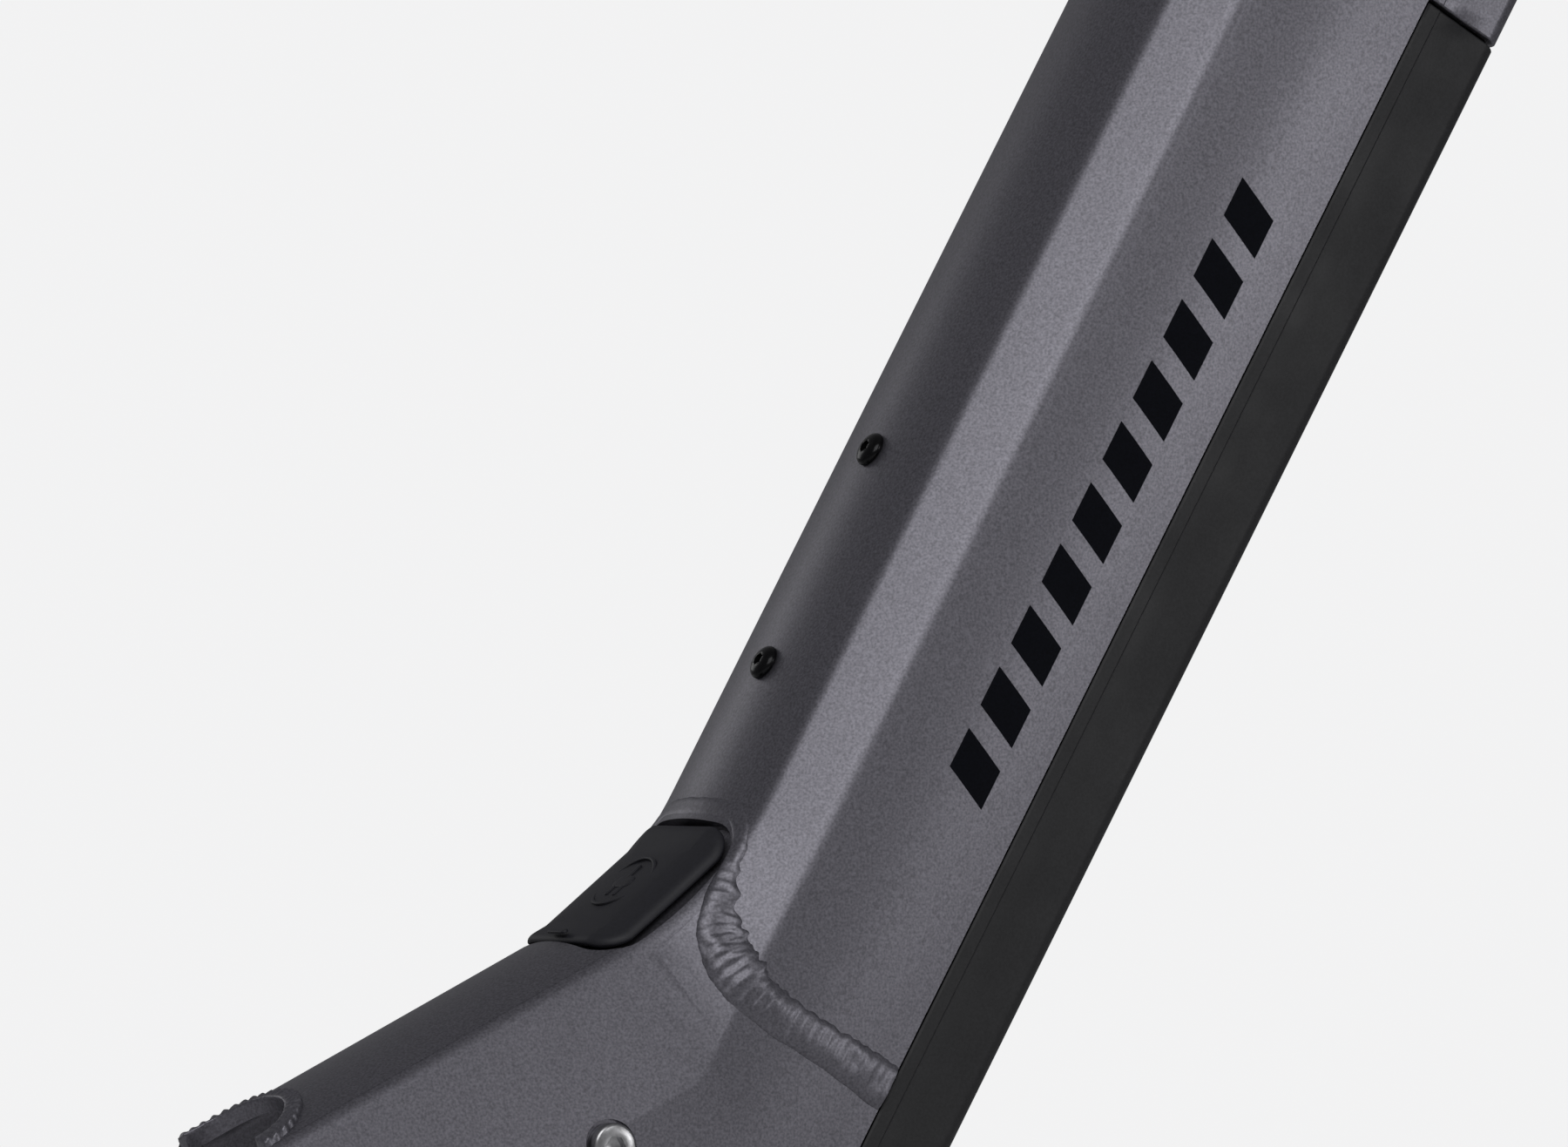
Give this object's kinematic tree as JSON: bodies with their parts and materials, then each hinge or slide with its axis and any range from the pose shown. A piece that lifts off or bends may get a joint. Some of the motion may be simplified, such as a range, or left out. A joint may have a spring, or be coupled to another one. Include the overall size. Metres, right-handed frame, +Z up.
{
  "type": "in-tube battery unit",
  "caption": "Leaning down tube that holds a removable battery pack behind a long cover, with a bracket arm, charge port flap and key lock",
  "frame": {"origin": "centre of the flat bulkhead that closes the tube's upper end", "axes": "+Z up and +X forward as fitted on the bicycle, +Y to the bicycle's left; the tube leans 60 degrees above the ground"},
  "size_m": [0.3931, 0.0829, 0.4365],
  "materials": {
    "frame_paint": "fine metallic grey satin paint",
    "cover_plastic": "dark textured plastic",
    "dark_plastic": "black moulded plastic",
    "flap_rubber": "blue-black rubber",
    "black_steel": "black oxide",
    "silver_steel": "satin zinc",
    "case_alloy": "dark anodised",
    "cell_sleeve": "heat-shrink sleeve",
    "tray_plastic": "pale moulded plastic",
    "board_green": "solder resist",
    "brass_contact": "plated",
    "gasket_rubber": "matte black",
    "window_plastic": "smoked clear"
  },
  "bodies": {
    "root": {"down_tube_shell": "frame_paint", "bracket_shell": "frame_paint", "tube_weld": "frame_paint", "seat_tube_weld": "frame_paint", "head_end_channel": "frame_paint", "end_bulkhead": "frame_paint", "bottle_boss_lower": "silver_steel", "bottle_boss_upper": "silver_steel", "bottle_bolt_lower": "black_steel", "bottle_bolt_upper": "black_steel", "motor_bolt_front_right": "silver_steel", "motor_bolt_front_left": "silver_steel", "motor_bolt_rear_right": "silver_steel", "motor_bolt_rear_left": "silver_steel", "charge_bezel": "dark_plastic", "charge_socket": "dark_plastic", "charge_contacts": "brass_contact", "charge_lead": "gasket_rubber", "lower_mount": "dark_plastic", "pivot_pin": "silver_steel", "frame_connector": "dark_plastic", "lower_nose": "cover_plastic", "upper_mount": "dark_plastic", "lock_sleeve": "silver_steel"},
    "pack": {"pack_case": "case_alloy", "pack_cap_lower": "dark_plastic", "pack_cap_upper": "dark_plastic", "gasket_lower": "gasket_rubber", "gasket_upper": "gasket_rubber", "pack_connector": "dark_plastic", "cell_row_01": "cell_sleeve", "cell_row_02": "cell_sleeve", "cell_row_03": "cell_sleeve", "cell_row_04": "cell_sleeve", "cell_row_05": "cell_sleeve", "cell_row_06": "cell_sleeve", "cell_row_07": "cell_sleeve", "cell_row_08": "cell_sleeve", "cell_row_09": "cell_sleeve", "cell_row_10": "cell_sleeve", "cell_row_11": "cell_sleeve", "cell_row_12": "cell_sleeve", "cell_row_13": "cell_sleeve", "cell_tray_outer": "tray_plastic", "cell_tray_inner": "tray_plastic", "control_board": "board_green", "striker": "silver_steel", "cover_shell": "cover_plastic", "cover_rail_right": "gasket_rubber", "cover_rail_left": "gasket_rubber", "charge_window": "window_plastic"},
    "key": {"key_barrel": "silver_steel"},
    "bolt": {"lock_bolt": "silver_steel"},
    "dust_cap": {"lock_dust_cap": "dark_plastic"},
    "flap": {"charge_flap": "flap_rubber"},
    "button": {"power_button": "dark_plastic"}
  },
  "joints": [
    {"name": "pack_swing", "type": "hinge", "parent": "root", "child": "pack", "pos_m": [-0.18331, 0, -0.3915], "axis": [0, 1, 0], "range_deg": [0, 15]},
    {"name": "key_turn", "type": "hinge", "parent": "root", "child": "key", "pos_m": [-0.01917, 0, -0.0372], "axis": [0, 1, 0], "range_deg": [0, 90]},
    {"name": "lock_bolt_slide", "type": "slide", "parent": "root", "child": "bolt", "axis": [-0.5, 0, -0.866], "range_m": [0, 0.009]},
    {"name": "dust_cap_swivel", "type": "hinge", "parent": "root", "child": "dust_cap", "pos_m": [-0.01092, 0.0385, -0.02291], "axis": [0, 1, 0], "range_deg": [0, 120]},
    {"name": "flap_hinge", "type": "hinge", "parent": "root", "child": "flap", "pos_m": [-0.25289, 0, -0.30617], "axis": [0, -1, 0], "range_deg": [0, 110]},
    {"name": "button_press", "type": "slide", "parent": "pack", "child": "button", "axis": [-0.866, 0, 0.5], "range_m": [0, 0.001], "stiffness_N_per_m": 2500}
  ],
  "couplings": [
    {"joint": "key_turn", "follows": "lock_bolt_slide", "rad_per_m": 174.53}
  ]
}
